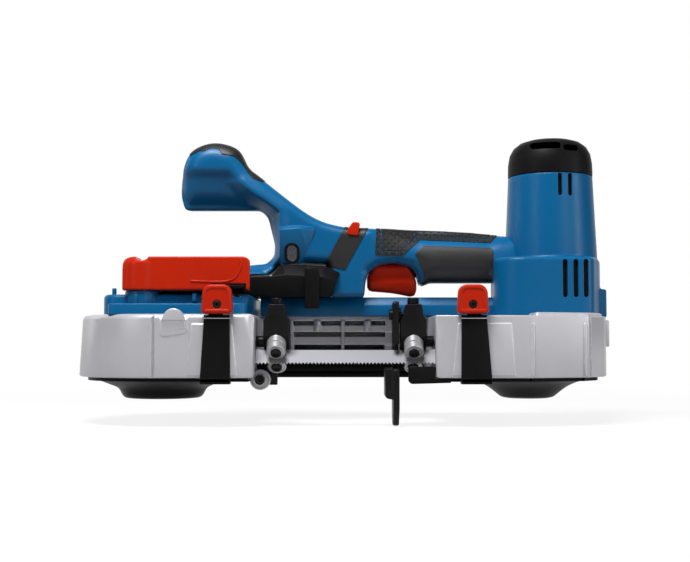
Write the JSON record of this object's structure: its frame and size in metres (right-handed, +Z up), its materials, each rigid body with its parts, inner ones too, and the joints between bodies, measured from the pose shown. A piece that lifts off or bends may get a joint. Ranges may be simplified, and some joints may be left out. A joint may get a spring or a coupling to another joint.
{
  "type": "portable band saw",
  "caption": "Hand-held cordless band saw: cast frame with an open throat, guided blade loop on two wheels, motor tower, top handle with trigger, tension lever and battery dock.",
  "frame": {"origin": "centre of the blade loop, midway between the two wheel axes at mid height of the rims", "axes": "+X from the idler wheel to the drive wheel, +Y from the throat to the back, +Z up along the wheel axes"},
  "size_m": [0.3765, 0.1306, 0.204],
  "materials": {
    "cast_aluminium": "cast, satin",
    "blue_plastic": "moulded, satin",
    "black_plastic": "moulded, fine texture",
    "red_plastic": "moulded, satin",
    "black_rubber": "soft overmould",
    "wheel_rubber": "moulded tyre",
    "black_steel": "black coated",
    "bright_steel": "machined",
    "wheel_metal": "turned",
    "band_steel": "rolled strip",
    "bearing_steel": "ground",
    "dark_screws": "black oxide",
    "fan_plastic": "moulded",
    "board_green": "solder mask",
    "clear_lens": "clear moulded",
    "terminal_brass": "plated contact"
  },
  "bodies": {
    "root": {"main_frame": "cast_aluminium", "gear_case_floor": "cast_aluminium", "motor_bulkhead": "cast_aluminium", "bearing_bridge": "cast_aluminium", "handle_shell_front": "blue_plastic", "handle_shell_rear": "blue_plastic", "motor_housing": "blue_plastic", "tension_deck": "blue_plastic", "base_rail": "blue_plastic", "blade_cover": "black_plastic", "motor_end_cap": "black_plastic", "battery_dock": "black_plastic", "led_bezel": "black_plastic", "lock_off_collar": "black_plastic", "switch_module": "black_plastic", "handle_top_inlay": "black_rubber", "grip_rubber": "black_rubber", "knob_pad": "black_rubber", "guide_bracket_left": "black_steel", "guide_bracket_right": "black_steel", "work_stop": "black_steel", "hinge_pins": "bright_steel", "stator": "bright_steel", "saw_band": "band_steel", "drive_bearings": "bearing_steel", "housing_screws": "dark_screws", "guide_pins": "dark_screws", "circuit_boards": "board_green", "led_lens": "clear_lens", "dock_terminals": "terminal_brass"},
    "drive": {"drive_wheel": "wheel_metal", "drive_tyre": "wheel_rubber", "output_shaft": "bright_steel", "output_gear": "bright_steel"},
    "carriage": {"tension_carriage": "bright_steel", "idler_axle": "bright_steel", "tension_spring": "bright_steel"},
    "idler": {"idler_wheel": "wheel_metal", "idler_tyre": "wheel_rubber", "idler_bearings": "bearing_steel"},
    "lever": {"tension_lever": "red_plastic", "lever_pivot": "bright_steel"},
    "lay": {"lay_shaft": "bright_steel", "lay_gear": "bright_steel"},
    "motor": {"motor_shaft": "bright_steel", "rotor": "bright_steel", "cooling_fan": "fan_plastic"},
    "latch_left": {"cover_latch_left": "red_plastic"},
    "latch_right": {"cover_latch_right": "red_plastic"},
    "trigger": {"trigger": "red_plastic", "trigger_spring": "bright_steel"},
    "lock_off": {"lock_off_button": "red_plastic"},
    "hook": {"hanging_hook": "black_steel"},
    "roller": {"lower_roller": "bearing_steel"},
    "bearing_front_left": {"guide_bearing_front_left": "bearing_steel"},
    "bearing_back_left": {"guide_bearing_back_left": "bearing_steel"},
    "bearing_thrust_left": {"guide_bearing_thrust_left": "bearing_steel"},
    "bearing_front_right": {"guide_bearing_front_right": "bearing_steel"},
    "bearing_back_right": {"guide_bearing_back_right": "bearing_steel"},
    "bearing_thrust_right": {"guide_bearing_thrust_right": "bearing_steel"}
  },
  "joints": [
    {"name": "drive_spin", "type": "hinge", "parent": "root", "child": "drive", "pos_m": [0.13, 0, 0], "axis": [0, 0, 1], "continuous": true},
    {"name": "lever_swing", "type": "hinge", "parent": "root", "child": "lever", "pos_m": [-0.139, -0.038, 0.05], "axis": [0, 0, 1], "range_deg": [-170, 0]},
    {"name": "tension_slide", "type": "slide", "parent": "root", "child": "carriage", "axis": [1, 0, 0], "range_m": [0, 0.006]},
    {"name": "idler_spin", "type": "hinge", "parent": "carriage", "child": "idler", "pos_m": [-0.13, 0, 0], "axis": [0, 0, 1], "continuous": true},
    {"name": "lay_spin", "type": "hinge", "parent": "root", "child": "lay", "pos_m": [0.15137, -0.00524, 0.045], "axis": [0, 0, 1], "continuous": true},
    {"name": "motor_spin", "type": "hinge", "parent": "root", "child": "motor", "pos_m": [0.149, 0.012, 0.1], "axis": [0, 0, 1], "continuous": true},
    {"name": "latch_left_swing", "type": "hinge", "parent": "root", "child": "latch_left", "pos_m": [-0.0853, -0.0644, 0.0305], "axis": [1, 0, 0], "range_deg": [0, 35]},
    {"name": "latch_right_swing", "type": "hinge", "parent": "root", "child": "latch_right", "pos_m": [0.0853, -0.0644, 0.0305], "axis": [1, 0, 0], "range_deg": [0, 35]},
    {"name": "trigger_press", "type": "slide", "parent": "root", "child": "trigger", "axis": [0, 0, 1], "range_m": [0, 0.006], "stiffness_N_per_m": 800, "springref_m": -0.002},
    {"name": "lock_off_push", "type": "slide", "parent": "root", "child": "lock_off", "axis": [0, 1, 0], "range_m": [0, 0.003], "stiffness_N_per_m": 600, "springref_m": -0.001},
    {"name": "hook_swing", "type": "hinge", "parent": "root", "child": "hook", "pos_m": [-0.0232, -0.017, 0.056], "axis": [0, 1, 0], "range_deg": [0, 180]},
    {"name": "roller_spin", "type": "hinge", "parent": "root", "child": "roller", "pos_m": [-0.057, -0.0455, -0.0165], "axis": [0, -1, 0], "continuous": true},
    {"name": "bearing_front_left_spin", "type": "hinge", "parent": "root", "child": "bearing_front_left", "pos_m": [-0.046, -0.05496, 0.00331], "axis": [0, -0.7071, -0.7071], "continuous": true},
    {"name": "bearing_back_left_spin", "type": "hinge", "parent": "root", "child": "bearing_back_left", "pos_m": [-0.046, -0.04534, -0.00631], "axis": [0, -0.7071, -0.7071], "continuous": true},
    {"name": "bearing_thrust_left_spin", "type": "hinge", "parent": "root", "child": "bearing_thrust_left", "pos_m": [-0.046, -0.04269, 0.00596], "axis": [0, -0.7071, 0.7071], "continuous": true},
    {"name": "bearing_front_right_spin", "type": "hinge", "parent": "root", "child": "bearing_front_right", "pos_m": [0.046, -0.05496, 0.00331], "axis": [0, -0.7071, -0.7071], "continuous": true},
    {"name": "bearing_back_right_spin", "type": "hinge", "parent": "root", "child": "bearing_back_right", "pos_m": [0.046, -0.04534, -0.00631], "axis": [0, -0.7071, -0.7071], "continuous": true},
    {"name": "bearing_thrust_right_spin", "type": "hinge", "parent": "root", "child": "bearing_thrust_right", "pos_m": [0.046, -0.04269, 0.00596], "axis": [0, -0.7071, 0.7071], "continuous": true}
  ],
  "couplings": [
    {"joint": "lever_swing", "follows": "tension_slide", "rad_per_m": -494.5},
    {"joint": "idler_spin", "follows": "drive_spin", "ratio": 1},
    {"joint": "lay_spin", "follows": "drive_spin", "ratio": -4},
    {"joint": "motor_spin", "follows": "drive_spin", "ratio": 19.2},
    {"joint": "bearing_front_left_spin", "follows": "drive_spin", "ratio": 7.7154},
    {"joint": "bearing_back_left_spin", "follows": "drive_spin", "ratio": -7.7154},
    {"joint": "bearing_thrust_left_spin", "follows": "drive_spin", "ratio": 12.537},
    {"joint": "bearing_front_right_spin", "follows": "drive_spin", "ratio": 7.7154},
    {"joint": "bearing_back_right_spin", "follows": "drive_spin", "ratio": -7.7154},
    {"joint": "bearing_thrust_right_spin", "follows": "drive_spin", "ratio": 12.537}
  ]
}
